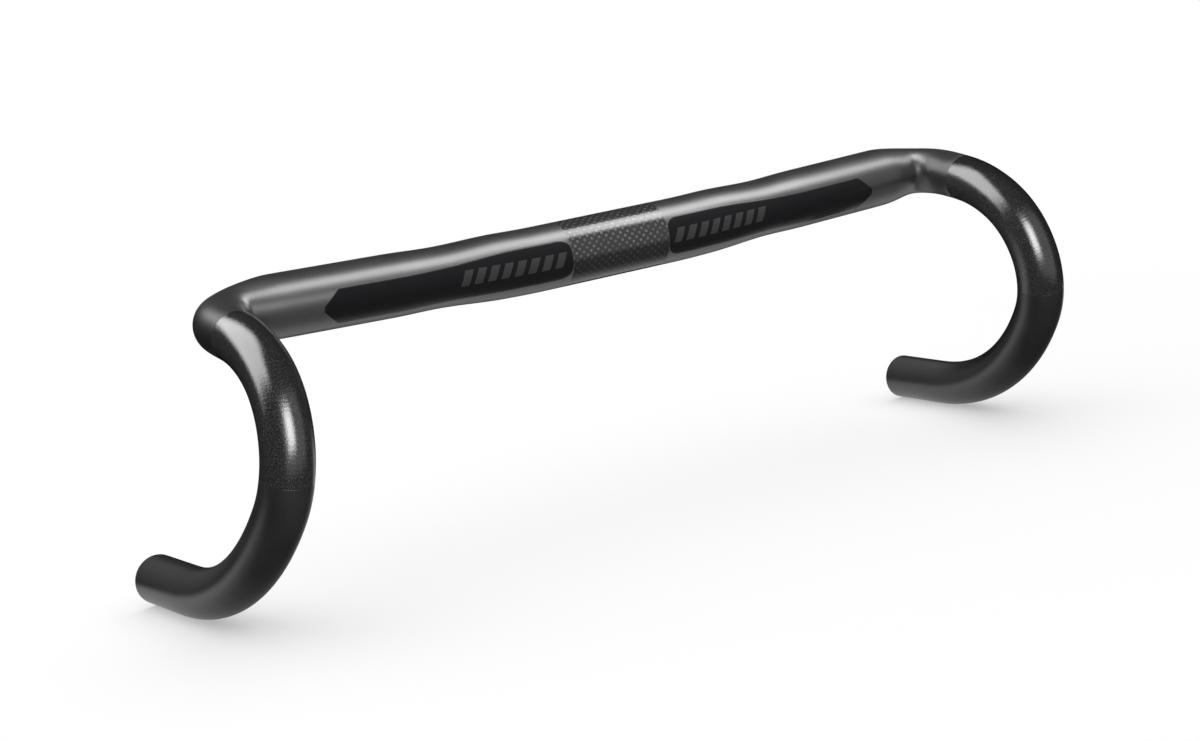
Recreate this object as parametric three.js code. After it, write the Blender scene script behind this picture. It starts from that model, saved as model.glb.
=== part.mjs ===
// Drop handlebar of a road bicycle: bare, in moulded carbon fibre, three mouldings bonded together.
// Lengths are millimetres and angles are degrees. The origin is the middle of the clamping zone.
// +X runs along the tops, -Y is forward and +Z is up, with the straight drops lying level.
// Left and right are the rider's, who sits on the +Y side, so the left half is on +X.
import * as THREE from 'three';

// Clamping zone, round, where the stem holds the bar
const clampDiameter = 31.8;
const clampWall = 3;
const clampHalfLength = 60;
const weaveHalfLength = 28;

// Tops, slightly oval, with a waist beside the clamping zone
const barWidth = 420;
const centreStraight = 40;
const sweepRadius = 200;
const sweepAngle = 2.2;
const riseAngle = 1.5;
const waistPlace = 96;
const waistDepth = 33;
const waistHeight = 29.2;
const palmPlace = 120;
const palmDepth = 35;
const palmHeight = 30.1;
const topsWall = 2.2;

// Tight bend into the ramp, where the tops narrow to the grip tube
const taperBeforeBend = 13;
const taperPastBend = 15;
const bendRadius = 20;
const toeAngle = 2.4;
const rampSlope = 10;
const rampLength = 12.5;

// Hook, one grip tube on three arcs that ends in the straight drop
const gripDiameter = 23.8;
const gripWall = 2.2;
const flareAngle = 7.8;
const shoulderRadius = 67.5;
const shoulderTurn = 24.5;
const hookRadius = 44;
const hookTurn = 92;
const dropRadius = 118.5;
const dropPitch = 180;
const dropStraight = 36.5;

// Bonded joint under the lever wrap, with a tube inside that carries the hook
const jointInset = 16;
const sleeveReach = 14;
const sleeveWall = 1.5;
const bondGap = 0.3;

// Outer plies, let in flush with the tube around them
const weaveThickness = 0.5;
const leverWrapThickness = 0.5;
const leverWrapLength = 82;
const seamGap = 0.3;

// Gloss panels on the front of the tops: spans above and below the forward direction
const panelGap = 0.3;
const panelThickness = 0.3;
const panelEndMargin = 17.5;
const panelCornerLength = 7;
const panelPointLength = 8;
const panelTurnPlace = 45;
const panelTopAtClamp = 33;
const panelTopAtPalm = 19.5;
const panelBottomAtClamp = 41;
const panelBottomAtPalm = 49;
const panelPointDrop = 13;
const panelBluntShare = 0.4;
const panelPointShare = 0.15;

// Fineness of the facets
const sides = 24;
const panelColumns = 6;
const stepTurn = 8.5;
const blendSteps = 3;
const cornerSteps = 3;

const radians = THREE.MathUtils.degToRad;
const smooth = (share) => THREE.MathUtils.smoothstep(share, 0, 1);
const mix = THREE.MathUtils.lerp;

// Unit direction of the hook's plane: 0 is forward along the ramp, 90 is down, 180 is back
const hookForward = new THREE.Vector3(-Math.sin(radians(toeAngle)), -Math.cos(radians(toeAngle)), 0);
const hookDown = new THREE.Vector3(Math.sin(radians(flareAngle)), 0, -Math.cos(radians(flareAngle)));
hookDown.addScaledVector(hookForward, -hookDown.dot(hookForward)).normalize();

function hookDirection(pitch) {
  const direction = hookForward.clone().multiplyScalar(Math.cos(radians(pitch)));
  return direction.addScaledVector(hookDown, Math.sin(radians(pitch)));
}

function topsDirection() {
  const flat = Math.cos(radians(riseAngle));
  return new THREE.Vector3(
    flat * Math.cos(radians(sweepAngle)),
    flat * Math.sin(radians(sweepAngle)),
    Math.sin(radians(riseAngle)),
  );
}

// Centre line of the left half as straights and arcs, each with its start along the line
function makeCentreLine() {
  const pieces = [];
  let centre = new THREE.Vector3();
  let tangent = new THREE.Vector3(1, 0, 0);
  let length = 0;

  function arcTo(direction, radius) {
    const turn = tangent.angleTo(direction);
    const from = tangent;
    const start = centre;
    const inward = direction.clone().addScaledVector(from, -direction.dot(from)).normalize();
    const place = (s) => start.clone()
      .addScaledVector(from, radius * Math.sin(s / radius))
      .addScaledVector(inward, radius * (1 - Math.cos(s / radius)));
    const heading = (s) => from.clone()
      .multiplyScalar(Math.cos(s / radius))
      .addScaledVector(inward, Math.sin(s / radius));
    return { turn, span: radius * turn, place, heading };
  }

  function straight(span) {
    const start = centre;
    const direction = tangent;
    const place = (s) => start.clone().addScaledVector(direction, s);
    const heading = () => direction.clone();
    return { turn: 0, span, place, heading };
  }

  function add(piece) {
    pieces.push({ ...piece, start: length });
    centre = piece.place(piece.span);
    tangent = piece.heading(piece.span).normalize();
    length += piece.span;
  }

  add(straight(centreStraight));
  add(arcTo(topsDirection(), sweepRadius));

  // The tops run on until the bend brings the tube to half the bar's width
  const rampDirection = hookDirection(rampSlope);
  const bend = arcTo(rampDirection, bendRadius);
  const bendWidth = bend.place(bend.span).x - centre.x;
  add(straight((barWidth / 2 - centre.x - bendWidth) / tangent.x));
  const bendStart = length;
  add(arcTo(rampDirection, bendRadius));
  add(straight(rampLength));
  const rampEnd = length;

  add(arcTo(hookDirection(rampSlope + shoulderTurn), shoulderRadius));
  add(arcTo(hookDirection(rampSlope + shoulderTurn + hookTurn), hookRadius));
  add(arcTo(hookDirection(dropPitch), dropRadius));
  add(straight(dropStraight));
  return { pieces, bendStart, rampEnd, length };
}

const line = makeCentreLine();
const taperStart = line.bendStart - taperBeforeBend;
const taperEnd = line.bendStart + taperPastBend;

// Outer half sizes and wall at marked places, with smooth blends between them
const sectionMarks = [
  { at: clampHalfLength, depth: clampDiameter / 2, height: clampDiameter / 2, wall: clampWall },
  { at: waistPlace, depth: waistDepth / 2, height: waistHeight / 2, wall: topsWall },
  { at: palmPlace, depth: palmDepth / 2, height: palmHeight / 2, wall: topsWall },
  { at: taperStart, depth: palmDepth / 2, height: palmHeight / 2, wall: topsWall },
  { at: taperEnd, depth: gripDiameter / 2, height: gripDiameter / 2, wall: gripWall },
];

function sectionAt(s) {
  const next = sectionMarks.findIndex((mark) => mark.at > s);
  if (next === 0) return sectionMarks[0];
  if (next < 0) return sectionMarks[sectionMarks.length - 1];
  const low = sectionMarks[next - 1];
  const high = sectionMarks[next];
  const share = smooth((s - low.at) / (high.at - low.at));
  return {
    depth: mix(low.depth, high.depth, share),
    height: mix(low.height, high.height, share),
    wall: mix(low.wall, high.wall, share),
  };
}

// Places along the line that the facets need: ends of pieces, steps of arcs and of blends
function stationPlaces() {
  const places = new Set([0]);
  for (const piece of line.pieces) {
    const steps = Math.max(1, Math.round(piece.turn / radians(stepTurn)));
    for (let step = 1; step <= steps; step += 1) places.add(piece.start + (piece.span * step) / steps);
  }
  for (let mark = 1; mark < sectionMarks.length; mark += 1) {
    const low = sectionMarks[mark - 1];
    const high = sectionMarks[mark];
    const changes = low.depth !== high.depth || low.height !== high.height;
    const steps = changes ? blendSteps : 1;
    for (let step = 0; step <= steps; step += 1) places.add(mix(low.at, high.at, step / steps));
  }
  return [...places].sort((a, b) => a - b);
}

function onLine(s) {
  const piece = line.pieces.findLast((candidate) => candidate.start <= s);
  return { centre: piece.place(s - piece.start), tangent: piece.heading(s - piece.start).normalize() };
}

// Stations with a frame that is carried along the line without twist
function makeStations() {
  const turn = new THREE.Quaternion();
  let forward = new THREE.Vector3(0, -1, 0);
  let up = new THREE.Vector3(0, 0, 1);
  let before = new THREE.Vector3(1, 0, 0);
  return stationPlaces().map((s) => {
    const { centre, tangent } = onLine(s);
    turn.setFromUnitVectors(before, tangent);
    forward = forward.clone().applyQuaternion(turn);
    up = up.clone().applyQuaternion(turn);
    before = tangent;
    return { s, centre, forward, up, ...sectionAt(s) };
  });
}

const stations = makeStations();

// A point at an angle above forward, grown out of the tube's surface, or off its bore if fromBore is set
function stationPoint(station, angle, growth, fromBore) {
  const offset = growth - (fromBore ? station.wall : 0);
  return station.centre.clone()
    .addScaledVector(station.forward, (station.depth + offset) * Math.cos(angle))
    .addScaledVector(station.up, (station.height + offset) * Math.sin(angle));
}

// The same on the facets between two stations. Negative s is the right half, mirrored.
function surfacePoint(s, angle, growth = 0, fromBore = false) {
  const along = Math.abs(s);
  const last = stations.length - 1;
  const next = Math.min(last, Math.max(1, stations.findIndex((station) => station.s >= along)));
  const low = stations[next - 1];
  const high = stations[next];
  const share = (along - low.s) / (high.s - low.s);
  const point = stationPoint(low, angle, growth, fromBore);
  point.lerp(stationPoint(high, angle, growth, fromBore), share);
  if (s < 0) point.x = -point.x;
  return point;
}

function ring(s, growth, fromBore) {
  return Array.from({ length: sides }, (_, side) => {
    const angle = (2 * Math.PI * side) / sides;
    return surfacePoint(s, angle, growth, fromBore);
  });
}

// Every place from one end to the other at which the surface changes direction
function placesBetween(from, to) {
  const both = stations.flatMap((station) => (station.s > 0 ? [-station.s, station.s] : [station.s]));
  const least = seamGap / 2;
  const inside = both.filter((s) => s > from + least && s < to - least).sort((a, b) => a - b);
  return [from, ...inside, to];
}

// Closed body from rings of equal length, joined in order. Open bodies get their two end rings capped
// across the ring, which suits the flat loops of a thin panel.
function ringBody(rings, endless) {
  const count = rings[0].length;
  const positions = rings.flat().flatMap((point) => point.toArray());
  const index = [];
  const quad = (a, b, c, d) => index.push(a, b, c, a, c, d);
  const joints = endless ? rings.length : rings.length - 1;
  for (let row = 0; row < joints; row += 1) {
    const here = row * count;
    const there = ((row + 1) % rings.length) * count;
    for (let side = 0; side < count; side += 1) {
      const next = (side + 1) % count;
      quad(here + side, here + next, there + next, there + side);
    }
  }
  if (!endless) {
    const finish = (rings.length - 1) * count;
    for (let side = 0; side < count / 2 - 1; side += 1) {
      const across = count - 1 - side;
      quad(side, across, across - 1, side + 1);
      quad(finish + side, finish + side + 1, finish + across - 1, finish + across);
    }
  }
  const geometry = new THREE.BufferGeometry();
  geometry.setAttribute('position', new THREE.Float32BufferAttribute(positions, 3));
  geometry.setIndex(signedVolume(rings, index) < 0 ? index.reverse() : index);
  geometry.computeVertexNormals();
  return geometry;
}

function signedVolume(rings, index) {
  const points = rings.flat();
  let volume = 0;
  for (let corner = 0; corner < index.length; corner += 3) {
    const [a, b, c] = [points[index[corner]], points[index[corner + 1]], points[index[corner + 2]]];
    volume += a.dot(b.clone().cross(c));
  }
  return volume;
}

// Tube from one place to another. Each recess lets a ply into its outer surface, with a gap at both ends.
function tubeBody(from, to, recesses) {
  const depthAt = (s) => {
    const recess = recesses.find((candidate) => s > candidate.from && s < candidate.to);
    return recess ? recess.depth : 0;
  };
  const places = new Set(placesBetween(from, to));
  const edges = recesses.flatMap((recess) => [recess.from, recess.to]).filter((s) => s > from && s < to);
  const plain = [...places].filter((s) => edges.every((edge) => Math.abs(edge - s) > seamGap / 2));
  const outer = [];
  for (const s of [...plain, ...edges].sort((a, b) => a - b)) {
    const least = seamGap / 2;
    const sunk = edges.includes(s) ? [depthAt(s - least), depthAt(s + least)] : [depthAt(s)];
    for (const depth of sunk) outer.push(ring(s, -depth, false));
  }
  const inner = placesBetween(from, to).map((s) => ring(s, 0, true));
  return ringBody([...outer, ...inner.reverse()], true);
}

// Shell whose outer surface stands the given growth off the tube's surface, or off its bore
function shellBody(from, to, growth, thickness, fromBore) {
  const places = placesBetween(from, to);
  const outer = places.map((s) => ring(s, growth, fromBore));
  const inner = places.map((s) => ring(s, growth - thickness, fromBore));
  return ringBody([...outer, ...inner.reverse()], true);
}

const panelStart = weaveHalfLength + seamGap;
const panelEnd = taperStart - panelEndMargin;

// Lowest and highest angle of the front panel at a place, drawn in at its rounded and its pointed end
function panelSpan(s) {
  const share = smooth((s - panelTurnPlace) / (palmPlace - panelTurnPlace));
  const top = mix(panelTopAtClamp, panelTopAtPalm, share);
  const bottom = -mix(panelBottomAtClamp, panelBottomAtPalm, share);
  const corner = Math.min(1, (s - panelStart) / panelCornerLength);
  const point = Math.min(1, (panelEnd - s) / panelPointLength);
  const width = Math.min(
    mix(panelBluntShare, 1, Math.sqrt(1 - (1 - corner) ** 2)),
    mix(panelPointShare, 1, point),
  );
  const middle = mix(-panelPointDrop, (top + bottom) / 2, Math.min(1, point));
  const half = (width * (top - bottom)) / 2;
  return [middle - half, middle + half];
}

function panelBody(side) {
  const steps = Array.from({ length: cornerSteps }, (_, step) => (step + 1) / cornerSteps);
  const rounding = (share) => 1 - Math.cos((Math.PI * share) / 2);
  const corners = steps.map((share) => panelStart + panelCornerLength * rounding(share));
  const points = steps.map((share) => panelEnd - panelPointLength * share);
  const kept = placesBetween(panelStart, panelEnd).filter((s) => (
    [...corners, ...points].every((corner) => Math.abs(corner - s) > seamGap / 2)
  ));
  const places = [...kept, ...corners, ...points].sort((a, b) => a - b);
  const loops = places.map((s) => {
    const [low, high] = panelSpan(s);
    const columns = Array.from({ length: panelColumns + 1 }, (_, column) => (
      radians(mix(low, high, column / panelColumns))
    ));
    const under = columns.map((angle) => surfacePoint(side * s, angle, panelGap));
    const over = columns.map((angle) => surfacePoint(side * s, angle, panelGap + panelThickness));
    return [...under, ...over.reverse()];
  });
  return ringBody(loops, false);
}

// Colours, roughness and metalness as the photograph shows them
const satinCarbon = { color: 0x2b2c2e, roughness: 0.45, metalness: 0.1 };
const rawCarbon = { color: 0x1c1c1d, roughness: 0.7, metalness: 0 };
const glossWeave = { color: 0x2c2d30, roughness: 0.12, metalness: 0.1 };
const glossGrain = { color: 0x232425, roughness: 0.18, metalness: 0.1 };
const glossBlack = { color: 0x0b0b0d, roughness: 0.1, metalness: 0 };

const handlebar = new THREE.Group();

function addPart(name, geometry, finish) {
  const mesh = new THREE.Mesh(geometry, new THREE.MeshStandardMaterial(finish));
  mesh.name = name;
  handlebar.add(mesh);
}

// From one end to the other of a stretch, whichever half it is on
const stretch = (side, near, far) => (side > 0 ? [near, far] : [-far, -near]);

const jointPlace = line.rampEnd + jointInset;
const leverWrapEnd = line.rampEnd + leverWrapLength;
const leverRecess = (side) => {
  const [from, to] = stretch(side, line.rampEnd - seamGap, leverWrapEnd + seamGap);
  return { from, to, depth: leverWrapThickness + seamGap };
};
const weaveRecess = {
  from: -weaveHalfLength - seamGap,
  to: weaveHalfLength + seamGap,
  depth: weaveThickness + seamGap,
};
const centreRecesses = [leverRecess(-1), weaveRecess, leverRecess(1)];
const weave = [-weaveHalfLength, weaveHalfLength];

addPart('centre_tube', tubeBody(-jointPlace, jointPlace, centreRecesses), satinCarbon);
addPart('clamp_weave_wrap', shellBody(...weave, 0, weaveThickness, false), glossWeave);

for (const [hand, side] of [['left', 1], ['right', -1]]) {
  const drop = stretch(side, jointPlace + bondGap, line.length);
  const sleeve = stretch(side, jointPlace - sleeveReach, jointPlace + sleeveReach);
  const wrap = stretch(side, line.rampEnd, leverWrapEnd);
  addPart(`drop_${hand}`, tubeBody(...drop, [leverRecess(side)]), satinCarbon);
  addPart(`joint_sleeve_${hand}`, shellBody(...sleeve, -bondGap, sleeveWall, true), rawCarbon);
  addPart(`lever_wrap_${hand}`, shellBody(...wrap, 0, leverWrapThickness, false), glossGrain);
  addPart(`front_panel_${hand}`, panelBody(side), glossBlack);
}

export default handlebar;
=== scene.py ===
import bpy
import math
from mathutils import Matrix, Vector


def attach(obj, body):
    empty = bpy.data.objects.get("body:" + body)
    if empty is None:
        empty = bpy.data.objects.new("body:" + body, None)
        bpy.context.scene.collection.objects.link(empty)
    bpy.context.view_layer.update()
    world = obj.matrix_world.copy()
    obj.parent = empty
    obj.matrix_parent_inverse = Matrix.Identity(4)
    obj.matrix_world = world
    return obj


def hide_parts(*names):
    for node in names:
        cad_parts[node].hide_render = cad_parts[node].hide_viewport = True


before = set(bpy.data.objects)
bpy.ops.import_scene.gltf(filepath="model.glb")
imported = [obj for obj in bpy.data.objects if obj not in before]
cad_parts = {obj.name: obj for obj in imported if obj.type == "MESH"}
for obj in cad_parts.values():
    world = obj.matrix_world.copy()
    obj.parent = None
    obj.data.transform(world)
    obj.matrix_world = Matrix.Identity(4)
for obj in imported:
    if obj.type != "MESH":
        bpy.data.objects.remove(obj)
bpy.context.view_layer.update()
print("frame loaded:", len(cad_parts), "nodes")

mm = 0.001  # sizes below are in metres, written in millimetres


# The camera, placed as the photograph was taken

cameraSet = {
    "azimuth": -31.1,
    "elevation": 10.28,
    "roll": -7.87,
    "lens": 68.594,
    "distance": 1184.98 * mm,
    "target": (15.62 * mm, 46.46 * mm, -70.8 * mm),
}


def placeCamera():
    azimuth = math.radians(cameraSet["azimuth"])
    elevation = math.radians(cameraSet["elevation"])
    roll = math.radians(cameraSet["roll"])
    back = Vector((
        math.sin(azimuth) * math.cos(elevation),
        -math.cos(azimuth) * math.cos(elevation),
        math.sin(elevation),
    ))
    level = (-back).cross(Vector((0, 0, 1))).normalized()
    above = level.cross(-back)
    right = level * math.cos(roll) + above * math.sin(roll)
    up = above * math.cos(roll) - level * math.sin(roll)
    data = bpy.data.cameras.new("photoCamera")
    data.sensor_width = 36
    data.sensor_fit = "HORIZONTAL"
    data.lens = cameraSet["lens"]
    data.clip_start = 0.05
    data.clip_end = 20
    camera = bpy.data.objects.new("photoCamera", data)
    bpy.context.scene.collection.objects.link(camera)
    turn = Matrix((right, up, back)).transposed().to_4x4()
    spot = Vector(cameraSet["target"]) + back * cameraSet["distance"]
    camera.matrix_world = Matrix.Translation(spot) @ turn
    bpy.context.scene.camera = camera


placeCamera()
print("camera placed")


# Centre line of the bar's left half, the same straights and arcs as the solids have

lineSizes = {
    "centreStraight": 40 * mm,
    "sweepRadius": 200 * mm,
    "sweepAngle": 2.2,
    "riseAngle": 1.5,
    "halfWidth": 210 * mm,
    "bendRadius": 20 * mm,
    "toeAngle": 2.4,
    "flareAngle": 7.8,
    "rampSlope": 10,
    "rampLength": 12.5 * mm,
    "shoulderRadius": 67.5 * mm,
    "shoulderTurn": 24.5,
    "hookRadius": 44 * mm,
    "hookTurn": 92,
    "dropRadius": 118.5 * mm,
    "dropPitch": 180,
    "dropStraight": 36.5 * mm,
    "pointSpacing": 0.8 * mm,
    "easing": 6,
}


def hookDirection(pitch):
    toe = math.radians(lineSizes["toeAngle"])
    flare = math.radians(lineSizes["flareAngle"])
    forward = Vector((-math.sin(toe), -math.cos(toe), 0))
    down = Vector((math.sin(flare), 0, -math.cos(flare)))
    down = (down - forward * down.dot(forward)).normalized()
    angle = math.radians(pitch)
    return forward * math.cos(angle) + down * math.sin(angle)


def topsDirection():
    sweep = math.radians(lineSizes["sweepAngle"])
    rise = math.radians(lineSizes["riseAngle"])
    flat = math.cos(rise)
    return Vector((flat * math.cos(sweep), flat * math.sin(sweep), math.sin(rise)))


def straightPiece(start, direction, span):
    return {
        "span": span,
        "place": lambda s: start + direction * s,
        "heading": lambda s: direction.copy(),
    }


def arcPiece(start, direction, finish, radius):
    inward = (finish - direction * finish.dot(direction)).normalized()
    return {
        "span": radius * direction.angle(finish),
        "place": lambda s: start
        + direction * (radius * math.sin(s / radius))
        + inward * (radius * (1 - math.cos(s / radius))),
        "heading": lambda s: direction * math.cos(s / radius) + inward * math.sin(s / radius),
    }


def makeCentreLine():
    found = {"pieces": [], "length": 0}
    centre = Vector((0, 0, 0))
    direction = Vector((1, 0, 0))

    def add(piece):
        nonlocal centre, direction
        piece["start"] = found["length"]
        found["pieces"].append(piece)
        found["length"] += piece["span"]
        centre = piece["place"](piece["span"])
        direction = piece["heading"](piece["span"]).normalized()

    add(straightPiece(centre, direction, lineSizes["centreStraight"]))
    add(arcPiece(centre, direction, topsDirection(), lineSizes["sweepRadius"]))

    # the tops run on until the bend brings the tube to half the bar's width
    ramp = hookDirection(lineSizes["rampSlope"])
    bend = arcPiece(centre, direction, ramp, lineSizes["bendRadius"])
    bendWidth = bend["place"](bend["span"]).x - centre.x
    reach = (lineSizes["halfWidth"] - centre.x - bendWidth) / direction.x
    add(straightPiece(centre, direction, reach))
    found["bendStart"] = found["length"]
    add(arcPiece(centre, direction, ramp, lineSizes["bendRadius"]))
    found["bendEnd"] = found["length"]
    add(straightPiece(centre, direction, lineSizes["rampLength"]))
    found["rampEnd"] = found["length"]

    pitch = lineSizes["rampSlope"] + lineSizes["shoulderTurn"]
    add(arcPiece(centre, direction, hookDirection(pitch), lineSizes["shoulderRadius"]))
    pitch += lineSizes["hookTurn"]
    add(arcPiece(centre, direction, hookDirection(pitch), lineSizes["hookRadius"]))
    last = hookDirection(lineSizes["dropPitch"])
    add(arcPiece(centre, direction, last, lineSizes["dropRadius"]))
    add(straightPiece(centre, direction, lineSizes["dropStraight"]))
    return found


def onLine(s):
    piece = [one for one in line["pieces"] if one["start"] <= s][-1]
    return piece["place"](s - piece["start"])


def makeBendCurve():
    steps = math.ceil(line["length"] / lineSizes["pointSpacing"])
    points = [onLine(line["length"] * step / steps) for step in range(steps + 1)]
    # a running mean over a few millimetres lets the tube flow in and out of its bends
    eased = []
    for number in range(len(points)):
        reach = min(lineSizes["easing"], number, len(points) - 1 - number)
        near = points[number - reach:number + reach + 1]
        eased.append(sum(near, Vector()) / len(near))
    points = eased
    points.append(points[-1] * 2 - points[-2])  # a little more than the tube needs
    data = bpy.data.curves.new("bendCurve", "CURVE")
    data.dimensions = "3D"
    data.twist_mode = "MINIMUM"
    spline = data.splines.new("POLY")
    spline.points.add(len(points) - 1)
    for made, point in zip(spline.points, points):
        made.co = (*point, 1)
    curve = bpy.data.objects.new("bendCurve", data)
    bpy.context.scene.collection.objects.link(curve)
    return curve


line = makeCentreLine()
bendCurve = makeBendCurve()
print("centre line drawn, half length", round(line["length"] / mm, 1), "mm")


# Section of the tube along the line: half depth and half height at marked places

sectionSizes = {
    "clampHalfLength": 60 * mm,
    "clampHalf": 15.9 * mm,
    "waistPlace": 96 * mm,
    "waistHalfDepth": 16.5 * mm,
    "waistHalfHeight": 14.6 * mm,
    "palmPlace": 120 * mm,
    "palmHalfDepth": 17.5 * mm,
    "palmHalfHeight": 15.05 * mm,
    "taperBeforeBend": 13 * mm,
    "taperPastBend": 15 * mm,
    "gripHalf": 11.9 * mm,
    "ringStep": 2.4 * mm,
    "bendRingStep": 1.2 * mm,
    "endRing": 0.12 * mm,
    "fineBefore": 40 * mm,
    "fineAfter": 4 * mm,
    "shortest": 0.05 * mm,
}

sectionMarks = [
    (sectionSizes["clampHalfLength"], sectionSizes["clampHalf"], sectionSizes["clampHalf"]),
    (sectionSizes["waistPlace"], sectionSizes["waistHalfDepth"], sectionSizes["waistHalfHeight"]),
    (sectionSizes["palmPlace"], sectionSizes["palmHalfDepth"], sectionSizes["palmHalfHeight"]),
    (
        line["bendStart"] - sectionSizes["taperBeforeBend"],
        sectionSizes["palmHalfDepth"],
        sectionSizes["palmHalfHeight"],
    ),
    (
        line["bendStart"] + sectionSizes["taperPastBend"],
        sectionSizes["gripHalf"],
        sectionSizes["gripHalf"],
    ),
]


def halvesAt(s):
    place = abs(s)
    if place <= sectionMarks[0][0]:
        return sectionMarks[0][1:]
    if place >= sectionMarks[-1][0]:
        return sectionMarks[-1][1:]
    after = [mark[0] > place for mark in sectionMarks].index(True)
    low, high = sectionMarks[after - 1], sectionMarks[after]
    share = (place - low[0]) / (high[0] - low[0])
    share = share * share * (3 - 2 * share)
    return low[1] + (high[1] - low[1]) * share, low[2] + (high[2] - low[2]) * share


def ringPlaces(start, end):
    fineStart = line["bendStart"] - sectionSizes["fineBefore"]
    fineEnd = line["bendEnd"] + sectionSizes["fineAfter"]
    places = [start]
    while places[-1] < end - sectionSizes["shortest"]:
        inBend = fineStart < places[-1] < fineEnd
        step = sectionSizes["bendRingStep"] if inBend else sectionSizes["ringStep"]
        places.append(min(end, places[-1] + step))
    return places


def ringsBetween(start, end, growth=0, endRing=sectionSizes["endRing"]):
    # a ring close to each end keeps the shading of its edge off the long faces
    places = [start] + ringPlaces(start + endRing, end - endRing) + [end]
    return [(s, *(half + growth for half in halvesAt(s))) for s in places]


# Modelling as by hand: a circle is drawn out ring by ring into a straight tube, which is bent later

edgeAngles = {"bevelOver": 50, "smoothUnder": 35}


def startFresh():
    if bpy.context.mode != "OBJECT":
        bpy.ops.object.mode_set(mode="OBJECT")
    bpy.ops.object.select_all(action="DESELECT")


def takeUp(piece):
    startFresh()
    piece.select_set(True)
    bpy.context.view_layer.objects.active = piece


def drawTube(name, rings, sides):
    startFresh()
    place, depth, height = rings[0]
    bpy.ops.mesh.primitive_circle_add(
        vertices=sides, radius=1, fill_type="NOTHING", location=(place, 0, 0),
        rotation=(0, math.pi / 2, 0),
    )
    piece = bpy.context.active_object
    piece.name = name
    piece.data.name = name
    bpy.ops.object.transform_apply(location=True, rotation=True, scale=True)
    bpy.ops.object.mode_set(mode="EDIT")
    bpy.ops.transform.resize(value=(1, depth, height), center_override=(place, 0, 0))
    for newPlace, newDepth, newHeight in rings[1:]:
        bpy.ops.mesh.extrude_region_move(
            TRANSFORM_OT_translate={"value": (newPlace - place, 0, 0)}
        )
        if newDepth != depth or newHeight != height:
            bpy.ops.transform.resize(
                value=(1, newDepth / depth, newHeight / height),
                center_override=(newPlace, 0, 0),
            )
        place, depth, height = newPlace, newDepth, newHeight
    bpy.ops.mesh.select_all(action="SELECT")
    bpy.ops.mesh.normals_make_consistent(inside=False)
    bpy.ops.object.mode_set(mode="OBJECT")
    return piece


def useModifier(piece, kind, **settings):
    takeUp(piece)
    made = piece.modifiers.new(kind.lower(), kind)
    for key, value in settings.items():
        setattr(made, key, value)
    bpy.ops.object.modifier_apply(modifier=made.name)


def giveWall(piece, thickness, finishes=0):
    # the bore and the cut ends take the next finishes in the list, if there are any
    useModifier(
        piece, "SOLIDIFY", thickness=thickness, offset=-1, use_even_offset=True,
        material_offset=min(1, finishes), material_offset_rim=finishes,
    )


def roundEdges(piece, width):
    useModifier(
        piece, "BEVEL", width=width, segments=2, limit_method="ANGLE",
        angle_limit=math.radians(edgeAngles["bevelOver"]), use_clamp_overlap=True,
    )


def mapSurface(piece, around, side=1):
    # stores how far along the bar and how far round it each corner is, while the piece is straight
    layer = piece.data.uv_layers.new(name="surface")
    for face in piece.data.polygons:
        middle = math.atan2(face.center.z, -face.center.y)
        for loop in face.loop_indices:
            point = piece.data.vertices[piece.data.loops[loop].vertex_index].co
            angle = math.atan2(point.z, -point.y)
            angle += 2 * math.pi * round((middle - angle) / (2 * math.pi))
            layer.data[loop].uv = (side * point.x, angle / (2 * math.pi) * around)


innerBend = {
    "fill": 2.5 * mm,
    "narrowness": 1.5,
    "before": 20 * mm,
    "after": 16 * mm,
    "softened": 100,
    "rounds": 80,
}


def fillInside(piece):
    # on the inside of the tight bend the section is drawn out a little, so that its corner is softer
    start = line["bendStart"] - innerBend["before"]
    end = line["bendEnd"] + innerBend["after"]
    for vertex in piece.data.vertices:
        share = (vertex.co.x - start) / (end - start)
        if 0 < share < 1:
            angle = math.atan2(vertex.co.z, -vertex.co.y)
            height = innerBend["fill"] * max(0, math.cos(angle)) ** innerBend["narrowness"]
            height *= math.sin(math.pi * share) ** 2
            keep = 1 + height / math.hypot(vertex.co.y, vertex.co.z)
            vertex.co.y *= keep
            vertex.co.z *= keep


def markInside(piece):
    # weights on the inner side of the tight bend, where the surface is softened once it is bent
    group = piece.vertex_groups.new(name="insideBend")
    middle = (line["bendStart"] + line["bendEnd"]) / 2
    reach = (line["bendEnd"] - line["bendStart"]) / 2 + innerBend["before"]
    for vertex in piece.data.vertices:
        apart = abs(vertex.co.x - middle) / reach
        angle = math.degrees(abs(math.atan2(vertex.co.z, -vertex.co.y))) / innerBend["softened"]
        if apart < 1 and angle < 1:
            weight = min(1, 2 * (1 - apart)) * min(1, 2 * (1 - angle))
            group.add([vertex.index], weight, "REPLACE")


def bendPiece(piece):
    useModifier(piece, "CURVE", object=bendCurve, deform_axis="POS_X")


def smoothOver(piece):
    takeUp(piece)
    bpy.ops.object.shade_smooth_by_angle(angle=math.radians(edgeAngles["smoothUnder"]))


def faceOutward(piece):
    corners = piece.data.vertices
    volume = 0
    for face in piece.data.polygons:
        first = corners[face.vertices[0]].co
        for second, third in zip(face.vertices[1:-1], face.vertices[2:]):
            volume += first.dot(corners[second].co.cross(corners[third].co))
    if volume < 0:
        takeUp(piece)
        bpy.ops.object.mode_set(mode="EDIT")
        bpy.ops.mesh.select_all(action="SELECT")
        bpy.ops.mesh.flip_normals()
        bpy.ops.object.mode_set(mode="OBJECT")


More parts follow.
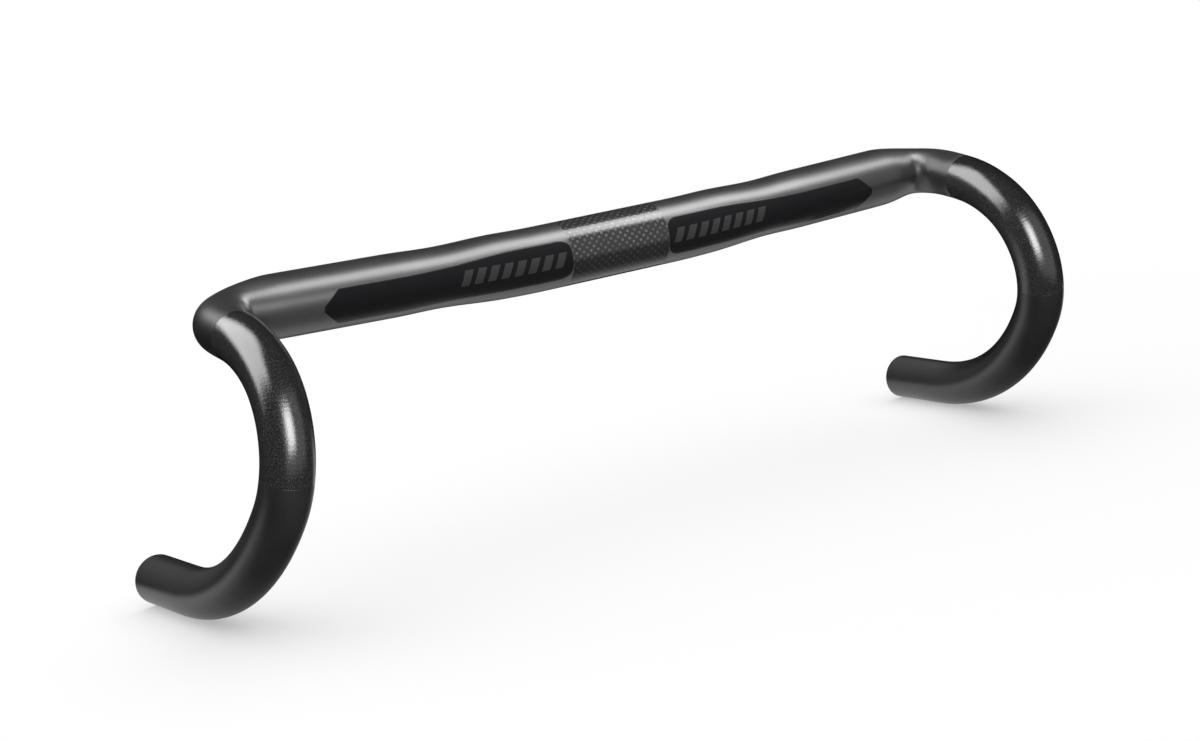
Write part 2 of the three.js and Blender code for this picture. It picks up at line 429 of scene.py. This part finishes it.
def copyAcross(piece, name):
    takeUp(piece)
    bpy.ops.object.duplicate()
    twin = bpy.context.active_object
    twin.name = name
    twin.data.name = name
    bpy.ops.transform.resize(value=(-1, 1, 1), center_override=(0, 0, 0))
    bpy.ops.object.transform_apply(location=True, rotation=True, scale=True)
    faceOutward(twin)
    return twin


def turnMapOver(piece):
    # marks on the other half read along the bar the same way
    for corner in piece.data.uv_layers["surface"].data:
        corner.uv = (-corner.uv[0], corner.uv[1])


def finishPiece(piece, node):
    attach(piece, "root")
    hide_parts(node)


# Shader sums written as Python: a wire is one socket's value

class Wire:
    def __init__(self, finish, socket):
        self.finish = finish
        self.socket = socket

    def sum(self, operation, *values):
        return self.finish.node("ShaderNodeMath", {"operation": operation}, dict(enumerate(values)))

    def __add__(self, other):
        return self.sum("ADD", self, other)

    def __radd__(self, other):
        return self.sum("ADD", other, self)

    def __sub__(self, other):
        return self.sum("SUBTRACT", self, other)

    def __rsub__(self, other):
        return self.sum("SUBTRACT", other, self)

    def __mul__(self, other):
        return self.sum("MULTIPLY", self, other)

    def __rmul__(self, other):
        return self.sum("MULTIPLY", other, self)

    def __truediv__(self, other):
        return self.sum("DIVIDE", self, other)

    def __rtruediv__(self, other):
        return self.sum("DIVIDE", other, self)

    def __mod__(self, other):
        return self.sum("FLOORED_MODULO", self, other)

    def __lt__(self, other):
        return self.sum("LESS_THAN", self, other)

    def __gt__(self, other):
        return self.sum("GREATER_THAN", self, other)

    def __abs__(self):
        return self.sum("ABSOLUTE", self)

    def sine(self):
        return self.sum("SINE", self)

    def floor(self):
        return self.sum("FLOOR", self)


class Finish:
    def __init__(self, name, **constants):
        self.material = bpy.data.materials.new(name)
        self.material.use_nodes = True
        self.tree = self.material.node_tree
        self.tree.nodes.clear()
        output = self.tree.nodes.new("ShaderNodeOutputMaterial")
        self.shader = self.tree.nodes.new("ShaderNodeBsdfPrincipled")
        self.tree.links.new(self.shader.outputs[0], output.inputs[0])
        for socket, value in constants.items():
            self.shader.inputs[socket.replace("_", " ")].default_value = value

    def node(self, kind, settings=None, values=None, output=0):
        made = self.tree.nodes.new(kind)
        for key, value in (settings or {}).items():
            setattr(made, key, value)
        for key, value in (values or {}).items():
            self.join(made.inputs[key], value)
        return Wire(self, made.outputs[output])

    def join(self, socket, value):
        if isinstance(value, Wire):
            self.tree.links.new(value.socket, socket)
        else:
            socket.default_value = value

    def feed(self, name, value):
        self.join(self.shader.inputs[name], value)

    def place(self):
        return self.node("ShaderNodeTexCoord", output="Object")

    def surface(self):
        spot = self.node("ShaderNodeUVMap", {"uv_map": "surface"})
        along = self.node("ShaderNodeSeparateXYZ", values={0: spot})
        return along, Wire(self, along.socket.node.outputs[1])

    def noise(self, where, size, detail=2.0, roughness=0.5):
        return self.node(
            "ShaderNodeTexNoise", {"noise_dimensions": "3D"},
            {"Vector": where, "Scale": 1 / size, "Detail": detail, "Roughness": roughness},
        )

    def spread(self, value, low, high, newLow=0.0, newHigh=1.0):
        return self.node(
            "ShaderNodeMapRange", {"clamp": True, "interpolation_type": "SMOOTHSTEP"},
            {0: value, 1: low, 2: high, 3: newLow, 4: newHigh},
        )

    def blend(self, share, first, second):
        return self.node(
            "ShaderNodeMix", {"data_type": "RGBA"},
            {0: share, 6: first, 7: second}, output=2,
        )

    def bump(self, height, strength, distance):
        return self.node(
            "ShaderNodeBump",
            values={"Strength": strength, "Distance": distance, "Height": height},
        )


def grey(value, blue=1.0):
    return (value, value, value * blue, 1)


# Satin clear coat over moulded carbon

satin = {
    "dark": 0.010,
    "light": 0.014,
    "specular": 0.9,
    "cloud": 18 * mm,
    "speck": 0.35 * mm,
    "rough": 0.37,
    "roughChange": 0.05,
    "bump": 0.08,
    "bumpDepth": 0.05 * mm,
}


def makeSatin():
    finish = Finish("satinCarbon", **{"Specular_IOR_Level": satin["specular"]})
    where = finish.place()
    cloud = finish.noise(where, satin["cloud"], 3.0)
    speck = finish.noise(where, satin["speck"], 2.0, 0.6)
    share = finish.spread(cloud * 0.7 + speck * 0.3, 0.3, 0.7)
    finish.feed("Base Color", finish.blend(share, grey(satin["dark"], 1.03), grey(satin["light"], 1.03)))
    change = (cloud - 0.5) * satin["roughChange"] + (speck - 0.5) * satin["roughChange"]
    finish.feed("Roughness", satin["rough"] + change)
    finish.feed("Normal", finish.bump(speck, satin["bump"], satin["bumpDepth"]))
    return finish.material


# Gloss coat over a fine plain weave, whose tows run along and round the clamping zone; the round-running
# tows carry a painted sheen

weave = {
    "tow": 2.07 * mm,
    "around": 100 * mm,
    "rows": 54,
    "along": 0.013,
    # the lighter grey of the round-running tows is painted sheen, standing in for their reflections
    "across": 0.065,
    "specular": 0.5,
    "rough": 0.12,
    "strand": 0.25 * mm,
    "drift": 6 * mm,
    "sheenOutsideBands": 0.25,
    "sheenBandTop": (-4 * mm, 1 * mm),
    "sheenBandLow": (17 * mm, 10 * mm),
    "backSheenBand": (27 * mm, 33 * mm),
    "bump": 0.35,
    "bumpDepth": 0.05 * mm,
}


def makeWeave():
    finish = Finish("glossWeave", **{"Specular_IOR_Level": weave["specular"]})
    along, around = finish.surface()
    u = along / weave["tow"]
    v = around / (weave["around"] / weave["rows"])
    over = (u.floor() + v.floor()) % 2.0
    inU = (u % 1.0) - 0.5
    inV = (v % 1.0) - 0.5
    crownU = 1.0 - inU * inU * 4.0
    crownV = 1.0 - inV * inV * 4.0
    where = finish.place()
    strands = finish.noise(where, weave["strand"], 2.0, 0.7)
    drift = finish.noise(where, weave["drift"], 1.0)

    # painted sheen: the tows that run round are coloured lighter at their crowns in a band below the top
    # and at the back, where reflections fall, and hardly elsewhere
    paintedSheenBand = finish.spread(around, *weave["sheenBandTop"]) * finish.spread(around, *weave["sheenBandLow"], 0.4)
    paintedSheenBand = paintedSheenBand + finish.spread(abs(around), *weave["backSheenBand"])
    sheenShare = weave["sheenOutsideBands"] + paintedSheenBand * (1 - weave["sheenOutsideBands"])
    paintedTowSheen = over * finish.spread(crownU * crownV, 0.15, 0.9)
    paintedTowSheen = paintedTowSheen * finish.spread(drift, 0.3, 0.65, 0.4, 1.0) * sheenShare
    # base colour: the tows that run along stay dark, the round-running tows take the lighter grey of the
    # painted sheen
    finish.feed("Base Color", finish.blend(
        paintedTowSheen * (0.55 + strands * 0.9), grey(weave["along"]), grey(weave["across"]),
    ))
    finish.feed("Roughness", weave["rough"] + strands * 0.08)
    height = over * crownU + (1.0 - over) * crownV
    finish.feed("Normal", finish.bump(height * 0.6 + strands * 0.6, weave["bump"], weave["bumpDepth"]))
    return finish.material


# Gloss coat over a fine grained ply, with faint lines across

grain = {
    "dark": 0.012,
    "light": 0.062,
    "specular": 0.9,
    "speck": 0.42 * mm,
    "cloud": 7 * mm,
    "lineSpacing": 1.6 * mm,
    "lineDrift": 2 * mm,
    "rough": 0.1,
    "bump": 0.9,
    "bumpDepth": 0.06 * mm,
}


def makeGrain():
    finish = Finish("glossGrain", **{"Specular_IOR_Level": grain["specular"]})
    along = finish.surface()[0]
    where = finish.place()
    speck = finish.noise(where, grain["speck"], 2.0, 0.65)
    cloud = finish.noise(where, grain["cloud"], 2.0)
    drifted = along + (cloud - 0.5) * grain["lineDrift"]
    lines = (drifted * (2 * math.pi / grain["lineSpacing"])).sine()
    flecks = finish.spread(speck, 0.52, 0.72)
    share = flecks * (0.5 + cloud * 0.8) + lines * 0.05
    finish.feed("Base Color", finish.blend(share, grey(grain["dark"]), grey(grain["light"])))
    finish.feed("Roughness", grain["rough"] + speck * 0.1)
    finish.feed("Normal", finish.bump(speck + lines * 0.08, grain["bump"], grain["bumpDepth"]))
    return finish.material


# Gloss black film with a row of plain slanted bars

panelMarks = {
    "from": 32.5 * mm,
    "to": 88 * mm,
    "pitch": 7.2 * mm,
    "barShare": 0.62,
    "slant": 0.45,
    "low": -4.2 * mm,
    "high": 2.8 * mm,
    "black": 0.016,
    "grey": 0.055,
    "specular": 0.22,
    "rough": 0.16,
    "barRough": 0.16,
    "dust": 0.6 * mm,
    "wave": 14 * mm,
    "bump": 0.05,
    "bumpDepth": 0.2 * mm,
}


def makePanelFilm():
    finish = Finish("glossBlack", **{"Specular_IOR_Level": panelMarks["specular"]})
    along, around = finish.surface()
    where = finish.place()
    dust = finish.noise(where, panelMarks["dust"], 2.0)
    wave = finish.noise(where, panelMarks["wave"], 1.0)
    leant = along - around * panelMarks["slant"]
    far = abs(leant)
    inBand = (far > panelMarks["from"]) * (far < panelMarks["to"])
    inHeight = (around > panelMarks["low"]) * (around < panelMarks["high"])
    step = ((far - panelMarks["from"]) / panelMarks["pitch"]) % 1.0
    bars = (step < panelMarks["barShare"]) * inBand * inHeight
    finish.feed("Base Color", finish.blend(
        bars, grey(panelMarks["black"], 1.1), grey(panelMarks["grey"], 1.02),
    ))
    finish.feed("Roughness", panelMarks["rough"] + dust * 0.04 + bars * panelMarks["barRough"])
    finish.feed("Normal", finish.bump(wave, panelMarks["bump"], panelMarks["bumpDepth"]))
    return finish.material


# Bare moulded carbon inside the tubes, and the sawn ends with their plies

rawPly = {
    "dark": 0.010,
    "light": 0.022,
    "specular": 0.4,
    "rough": 0.62,
    "wrinkle": 3.2 * mm,
    "grit": 0.4 * mm,
    "bump": 0.4,
    "bumpDepth": 0.2 * mm,
}

sawnEnd = {
    "dark": 0.016,
    "light": 0.05,
    "specular": 0.4,
    "ply": 0.28 * mm,
    "dust": 1.1 * mm,
    "rough": 0.5,
    "bump": 0.35,
    "bumpDepth": 0.05 * mm,
}


def makeRaw():
    finish = Finish("rawCarbon", **{"Specular_IOR_Level": rawPly["specular"]})
    where = finish.place()
    wrinkle = finish.noise(where, rawPly["wrinkle"], 3.0, 0.6)
    grit = finish.noise(where, rawPly["grit"], 2.0)
    finish.feed("Base Color", finish.blend(wrinkle, grey(rawPly["dark"]), grey(rawPly["light"])))
    finish.feed("Roughness", rawPly["rough"] + (wrinkle - 0.5) * 0.3)
    finish.feed("Normal", finish.bump(wrinkle + grit * 0.3, rawPly["bump"], rawPly["bumpDepth"]))
    return finish.material


def makeCut():
    finish = Finish("sawnCarbon", **{"Specular_IOR_Level": sawnEnd["specular"]})
    where = finish.place()
    plies = finish.noise(where, sawnEnd["ply"], 1.0)
    dust = finish.noise(where, sawnEnd["dust"], 3.0)
    finish.feed("Base Color", finish.blend(
        plies * 0.6 + dust * 0.4, grey(sawnEnd["dark"]), grey(sawnEnd["light"]),
    ))
    finish.feed("Roughness", sawnEnd["rough"] + dust * 0.25)
    finish.feed("Normal", finish.bump(plies, sawnEnd["bump"], sawnEnd["bumpDepth"]))
    return finish.material


satinCarbon = makeSatin()
glossWeave = makeWeave()
glossGrain = makeGrain()
glossBlack = makePanelFilm()
rawCarbon = makeRaw()
sawnCarbon = makeCut()
print("finishes mixed")


def coat(piece, *finishes):
    for finish in finishes:
        piece.data.materials.append(finish)


# The centre tube, drawn for the left half, bent, mirrored and then given its wall

centreTube = {
    "sides": 96,
    "wall": 2.2 * mm,
    "jointInset": 16 * mm,
    "weaveHalf": 28.01 * mm,
    "recess": 0.8 * mm,
    "seam": 0.01 * mm,
    "edge": 0.02 * mm,
    "mirrorMerge": 0.01 * mm,
    "doublesWithin": 0.001 * mm,
}

jointPlace = line["rampEnd"] + centreTube["jointInset"]


def makeCentreTube():
    recess = centreTube["recess"]
    rings = ringsBetween(0, centreTube["weaveHalf"], -recess)
    rings += ringsBetween(centreTube["weaveHalf"], line["rampEnd"] - centreTube["seam"])
    rings += ringsBetween(line["rampEnd"] - centreTube["seam"], jointPlace, -recess)
    tube = drawTube("centreTube", rings, centreTube["sides"])
    coat(tube, satinCarbon, rawCarbon, sawnCarbon)
    fillInside(tube)
    markInside(tube)
    bendPiece(tube)
    useModifier(
        tube, "SMOOTH", factor=0.5, iterations=innerBend["rounds"], vertex_group="insideBend",
    )
    useModifier(
        tube, "MIRROR", use_axis=(True, False, False), use_mirror_merge=True,
        merge_threshold=centreTube["mirrorMerge"],
    )
    takeUp(tube)
    bpy.ops.object.mode_set(mode="EDIT")
    bpy.ops.mesh.select_all(action="SELECT")
    bpy.ops.mesh.remove_doubles(threshold=centreTube["doublesWithin"])
    bpy.ops.mesh.normals_make_consistent(inside=False)
    bpy.ops.object.mode_set(mode="OBJECT")
    giveWall(tube, centreTube["wall"], 2)
    roundEdges(tube, centreTube["edge"])
    faceOutward(tube)
    smoothOver(tube)
    finishPiece(tube, "centre_tube")
    return tube


makeCentreTube()
print("centre tube made")


# The woven wrap round the clamping zone, straight as the tube is there

weaveWrap = {"halfLength": 28 * mm, "thickness": 0.5 * mm, "sides": 120, "edge": 0.015 * mm}


def makeWeaveWrap():
    rings = ringsBetween(-weaveWrap["halfLength"], weaveWrap["halfLength"])
    wrap = drawTube("clampWeaveWrap", rings, weaveWrap["sides"])
    coat(wrap, glossWeave)
    giveWall(wrap, weaveWrap["thickness"])
    roundEdges(wrap, weaveWrap["edge"])
    mapSurface(wrap, weave["around"])
    faceOutward(wrap)
    smoothOver(wrap)
    finishPiece(wrap, "clamp_weave_wrap")
    return wrap


makeWeaveWrap()
print("weave wrap made")


# The drops, with open bores and eased ends

dropTube = {
    "sides": 96,
    "wall": 2.2 * mm,
    "bondGap": 0.3 * mm,
    "recess": 0.8 * mm,
    "seam": 0.01 * mm,
    "edge": 0.1 * mm,
}

leverWrap = {"length": 82 * mm, "thickness": 0.5 * mm, "sides": 96, "edge": 0.01 * mm}
wrapEnd = line["rampEnd"] + leverWrap["length"]


def makeDrops():
    start = jointPlace + dropTube["bondGap"]
    step = wrapEnd + dropTube["seam"]
    rings = ringsBetween(start, step, -dropTube["recess"], 2 * dropTube["edge"])
    rings += ringsBetween(step, line["length"], 0, 2 * dropTube["edge"])
    drop = drawTube("dropLeft", rings, dropTube["sides"])
    coat(drop, satinCarbon, rawCarbon, sawnCarbon)
    giveWall(drop, dropTube["wall"], 2)
    roundEdges(drop, dropTube["edge"])
    bendPiece(drop)
    faceOutward(drop)
    smoothOver(drop)
    twin = copyAcross(drop, "dropRight")
    finishPiece(drop, "drop_left")
    finishPiece(twin, "drop_right")


makeDrops()
print("drops made")


# The wraps that the brake levers' bands sit on

def makeLeverWraps():
    rings = ringsBetween(line["rampEnd"], wrapEnd)
    wrap = drawTube("leverWrapLeft", rings, leverWrap["sides"])
    coat(wrap, glossGrain)
    giveWall(wrap, leverWrap["thickness"])
    roundEdges(wrap, leverWrap["edge"])
    mapSurface(wrap, 2 * math.pi * sectionSizes["gripHalf"])
    bendPiece(wrap)
    faceOutward(wrap)
    smoothOver(wrap)
    twin = copyAcross(wrap, "leverWrapRight")
    finishPiece(wrap, "lever_wrap_left")
    finishPiece(twin, "lever_wrap_right")


makeLeverWraps()
print("lever wraps made")


# The tubes inside the bonded joints

jointSleeve = {"reach": 14 * mm, "gap": 0.3 * mm, "wall": 1.5 * mm, "sides": 64, "edge": 0.3 * mm}


def makeSleeves():
    growth = -dropTube["wall"] - jointSleeve["gap"]
    rings = ringsBetween(
        jointPlace - jointSleeve["reach"], jointPlace + jointSleeve["reach"],
        growth, 2 * jointSleeve["edge"],
    )
    sleeve = drawTube("jointSleeveLeft", rings, jointSleeve["sides"])
    coat(sleeve, rawCarbon)
    giveWall(sleeve, jointSleeve["wall"])
    roundEdges(sleeve, jointSleeve["edge"])
    bendPiece(sleeve)
    faceOutward(sleeve)
    smoothOver(sleeve)
    twin = copyAcross(sleeve, "jointSleeveRight")
    finishPiece(sleeve, "joint_sleeve_left")
    finishPiece(twin, "joint_sleeve_right")


makeSleeves()
print("joint sleeves made")


# The gloss panels: a grid shaped column by column, laid on the tube and given its thickness

frontPanel = {
    "start": 28.3 * mm,
    "endMargin": 17.5 * mm,
    "cornerLength": 7 * mm,
    "pointLength": 8 * mm,
    "turnPlace": 45 * mm,
    "topAtClamp": 33,
    "topAtPalm": 19.5,
    "bottomAtClamp": -41,
    "bottomAtPalm": -49,
    "pointDrop": -13,
    "bluntShare": 0.4,
    "pointShare": 0.15,
    "columns": 110,
    "rows": 20,
    "columnEvenness": 0.35,
    "formSides": 360,
    "formMargin": 2 * mm,
    "standOff": 40 * mm,
    "reach": 100 * mm,
    "lift": 0.2 * mm,
    "thickness": 0.35 * mm,
    "edge": 0.08 * mm,
}

panelEnd = line["bendStart"] - sectionSizes["taperBeforeBend"] - frontPanel["endMargin"]


def panelSpan(s):
    share = (s - frontPanel["turnPlace"]) / (sectionSizes["palmPlace"] - frontPanel["turnPlace"])
    share = min(1, max(0, share))
    share = share * share * (3 - 2 * share)
    top = frontPanel["topAtClamp"] + (frontPanel["topAtPalm"] - frontPanel["topAtClamp"]) * share
    bottom = frontPanel["bottomAtClamp"]
    bottom += (frontPanel["bottomAtPalm"] - frontPanel["bottomAtClamp"]) * share
    corner = min(1, (s - frontPanel["start"]) / frontPanel["cornerLength"])
    point = max(0, min(1, (panelEnd - s) / frontPanel["pointLength"]))
    blunt = frontPanel["bluntShare"]
    width = min(
        blunt + (1 - blunt) * math.sqrt(max(0, 1 - (1 - corner) ** 2)),
        frontPanel["pointShare"] + (1 - frontPanel["pointShare"]) * point,
    )
    middle = frontPanel["pointDrop"] + ((top + bottom) / 2 - frontPanel["pointDrop"]) * point
    half = width * (top - bottom) / 2
    return math.radians(middle - half), math.radians(middle + half)


def panelColumnPlace(number):
    # columns crowd at both ends, where the outline turns
    share = number / frontPanel["columns"]
    even = frontPanel["columnEvenness"]
    share = even * share + (1 - even) * (1 - math.cos(math.pi * share)) / 2
    return frontPanel["start"] + (panelEnd - frontPanel["start"]) * share


def makePanels():
    margin = frontPanel["formMargin"]
    formRings = ringsBetween(frontPanel["start"] - margin, panelEnd + margin)
    form = drawTube("panelForm", formRings, frontPanel["formSides"])
    startFresh()
    bpy.ops.mesh.primitive_grid_add(
        x_subdivisions=frontPanel["columns"], y_subdivisions=frontPanel["rows"], size=2,
        location=(0, -frontPanel["standOff"], 0), rotation=(math.pi / 2, 0, 0),
    )
    panel = bpy.context.active_object
    panel.name = "frontPanelLeft"
    panel.data.name = "frontPanelLeft"
    bpy.ops.object.transform_apply(location=True, rotation=True, scale=True)
    while panel.data.uv_layers:
        panel.data.uv_layers.remove(panel.data.uv_layers[0])
    # each column is moved to its place and scaled to the panel's span there
    columns = {}
    for vertex in panel.data.vertices:
        number = round((vertex.co.x + 1) / 2 * frontPanel["columns"])
        columns.setdefault(number, []).append(vertex)
    for number, column in columns.items():
        place = panelColumnPlace(number)
        low, high = panelSpan(place)
        height = halvesAt(place)[1]
        for vertex in column:
            share = (vertex.co.z + 1) / 2
            vertex.co.x = place
            vertex.co.z = height * math.sin(low + (high - low) * share)
    useModifier(
        panel, "SHRINKWRAP", target=form, wrap_method="PROJECT", use_project_y=True,
        use_positive_direction=True, use_negative_direction=False,
        project_limit=frontPanel["reach"],
    )
    startFresh()
    bpy.data.objects.remove(form)
    coat(panel, glossBlack)
    takeUp(panel)
    if panel.data.polygons[0].normal.y > 0:
        bpy.ops.object.mode_set(mode="EDIT")
        bpy.ops.mesh.select_all(action="SELECT")
        bpy.ops.mesh.flip_normals()
        bpy.ops.object.mode_set(mode="OBJECT")
    lifted = frontPanel["lift"] / frontPanel["thickness"]
    useModifier(
        panel, "SOLIDIFY", thickness=frontPanel["thickness"], offset=2 * lifted - 1,
        use_even_offset=True,
    )
    roundEdges(panel, frontPanel["edge"])
    mapSurface(panel, 2 * math.pi * sectionSizes["clampHalf"])
    bendPiece(panel)
    faceOutward(panel)
    smoothOver(panel)
    twin = copyAcross(panel, "frontPanelRight")
    finishPiece(panel, "front_panel_left")
    turnMapOver(twin)
    finishPiece(twin, "front_panel_right")


makePanels()
print("front panels made")

bpy.data.objects.remove(bendCurve)


# Floor that fades to plain white

studio = {
    "floorHeight": -133.6 * mm,
    "floorHalf": 1.6,
    "fadeFrom": 0.42,
    "fadeTo": 0.72,
    "floorShade": 0.9,
    "leastWhite": 0.42,
    "cardBelowFloor": 0.5 * mm,
}


def makeFloor():
    startFresh()
    bpy.ops.mesh.primitive_plane_add(
        size=2 * studio["floorHalf"], location=(0, 0, studio["floorHeight"])
    )
    floor = bpy.context.active_object
    floor.name = "studioFloor"
    finish = Finish("studioPaper", **{"Roughness": 0.9, "Specular_IOR_Level": 0.1})
    finish.feed("Base Color", grey(studio["floorShade"]))
    where = finish.place()
    apart = finish.node("ShaderNodeVectorMath", {"operation": "LENGTH"}, {0: where}, output=1)
    fade = finish.spread(apart, studio["fadeFrom"], studio["fadeTo"], studio["leastWhite"])
    glow = finish.node("ShaderNodeEmission", values={"Color": grey(1), "Strength": 1.0})
    body = Wire(finish, finish.shader.outputs[0])
    mixed = finish.node("ShaderNodeMixShader", values={0: fade, 1: body, 2: glow})
    output = [one for one in finish.tree.nodes if one.type == "OUTPUT_MATERIAL"][0]
    finish.tree.links.new(mixed.socket, output.inputs[0])
    coat(floor, finish.material)
    floor.visible_glossy = False


# Each box lights only the pieces that it names, as flags and snoots would have it

glossyPieces = ("clampWeaveWrap", "leverWrapLeft", "leverWrapRight")
topPieces = ("centreTube", "clampWeaveWrap", "frontPanelLeft", "frontPanelRight")
dropPieces = ("dropLeft", "dropRight")

softBoxes = [
    {
        "name": "boxAbove", "at": (-0.1, -0.335, 0.97), "away": (0.54, -0.22, 0.80),
        "along": (1, 0.12, 0), "width": 1.6, "height": 0.43, "glow": 8.0,
        "lights": topPieces,
    },
    {
        "name": "boxAboveEnd", "at": (1.6, -0.13, 0.97), "away": (0.54, -0.22, 0.80),
        "along": (1, 0.12, 0), "width": 1.8, "height": 0.45, "glow": 5.5,
        "lights": topPieces,
    },
    {
        "name": "boxBehind", "at": (-0.69, 0.38, 0.99), "away": (-0.575, 0.366, 0.732),
        "along": (-0.715, -0.658, -0.232), "width": 1.4, "height": 1.25, "glow": 5.6,
        "lights": glossyPieces,
    },
    {
        "name": "boxBehindTops", "at": (-0.69, 0.38, 0.99), "away": (-0.575, 0.366, 0.732),
        "along": (-0.715, -0.658, -0.232), "width": 1.4, "height": 1.25, "glow": 3.2,
        "lights": ("centreTube",),
    },
    {
        "name": "boxFront", "at": (-0.26, -1.15, 0.33), "away": (-0.22, -1.15, 0.33),
        "along": (1, 0, 0), "width": 0.6, "height": 0.75, "glow": 10.8,
        "lights": glossyPieces + dropPieces,
    },
    {
        "name": "boxFrontTops", "at": (-0.1, -1.15, 0.33), "away": (-0.1, -1.15, 0.33),
        "along": (1, 0, 0), "width": 1.3, "height": 0.5, "glow": 3.0,
        "lights": ("centreTube",),
    },
    {
        "name": "fillFront", "at": (0.3, -1.7, 0.4), "away": (0.1, -1, 0.2),
        "along": (1, 0, 0), "width": 3.6, "height": 2.4, "glow": 0.62,
        "lights": glossyPieces + dropPieces + ("centreTube",),
    },
    {
        "name": "fillLow", "at": (0.17, -0.14, -0.12), "away": (0, 0, -1),
        "along": (1, 0, 0), "width": 0.9, "height": 0.32, "glow": 0.45,
        "lights": ("centreTube",),
    },
    {
        "name": "fillDrops", "at": (-0.8, 1.2, 0.25), "away": (-0.5, 0.85, 0.15),
        "along": (0.85, 0.5, 0), "width": 2.2, "height": 0.76, "glow": 0.2,
        "lights": dropPieces,
    },
    {
        "name": "ceilingOverDrops", "at": (-0.3, 0.3, 1.0), "away": (0, 0, 1),
        "along": (1, 0, 0), "width": 3.6, "height": 3.6, "glow": 0.5,
        "lights": dropPieces,
    },
    {
        "name": "ceilingOverFloor", "at": (-0.35, 0.35, 0.95), "away": (0, 0, 1),
        "along": (1, 0, 0), "width": 4.0, "height": 4.0, "glow": 1.45,
        "lights": ("studioFloor",),
    },
]


def makeSoftBox(box):
    data = bpy.data.lights.new(box["name"], "AREA")
    data.shape = "RECTANGLE"
    data.size = box["width"]
    data.size_y = box["height"]
    data.energy = box["glow"] * math.pi * box["width"] * box["height"]
    lamp = bpy.data.objects.new(box["name"], data)
    bpy.context.scene.collection.objects.link(lamp)
    away = Vector(box["away"]).normalized()
    along = Vector(box["along"])
    wide = (along - away * along.dot(away)).normalized()
    facing = Matrix((wide, away.cross(wide), away)).transposed().to_4x4()
    lamp.matrix_world = Matrix.Translation(Vector(box["at"])) @ facing
    lamp.visible_camera = False
    lit = bpy.data.collections.new(box["name"])
    for name in box["lights"]:
        lit.objects.link(bpy.data.objects[name])
    lamp.light_linking.receiver_collection = lit


# A card under the floor, which only reflections see, and the white behind everything

bounceCard = {
    "low": (-0.45, -0.06),
    "high": (0.53, 0.15),
    "softness": 0.12,
    "sharpness": 0.05,
    "glow": 0.8,
}


def makeCard():
    startFresh()
    low, high = bounceCard["low"], bounceCard["high"]
    bpy.ops.mesh.primitive_plane_add(
        size=1, location=(0, 0, studio["floorHeight"] - studio["cardBelowFloor"])
    )
    card = bpy.context.active_object
    card.name = "bounceCard"
    bpy.ops.transform.resize(value=(high[0] - low[0], high[1] - low[1], 1))
    bpy.ops.transform.translate(value=((low[0] + high[0]) / 2, (low[1] + high[1]) / 2, 0))
    bpy.ops.object.transform_apply(location=True, rotation=True, scale=True)
    finish = Finish("bounceCard", **{"Specular_IOR_Level": 0, "Base_Color": grey(0)})
    split = finish.node("ShaderNodeSeparateXYZ", values={0: finish.place()})
    across = Wire(finish, split.socket.node.outputs[1])
    fade = finish.spread(across, low[1], low[1] + bounceCard["softness"])
    fade = fade * finish.spread(across, high[1], high[1] - bounceCard["sharpness"])
    finish.feed("Emission Color", finish.blend(fade, grey(0), grey(1)))
    finish.feed("Emission Strength", bounceCard["glow"])
    coat(card, finish.material)
    card.visible_camera = False
    card.visible_diffuse = False
    card.visible_shadow = False


def makeWorld():
    world = bpy.data.worlds.new("studioWhite")
    world.use_nodes = True
    back = [one for one in world.node_tree.nodes if one.type == "BACKGROUND"][0]
    back.inputs[0].default_value = (1, 1, 1, 1)
    back.inputs[1].default_value = 1
    world.cycles_visibility.glossy = False
    world.cycles_visibility.diffuse = False
    bpy.context.scene.world = world
    bpy.context.scene.view_settings.view_transform = "Standard"


makeFloor()
for box in softBoxes:
    makeSoftBox(box)
makeCard()
makeWorld()
print("studio lit")
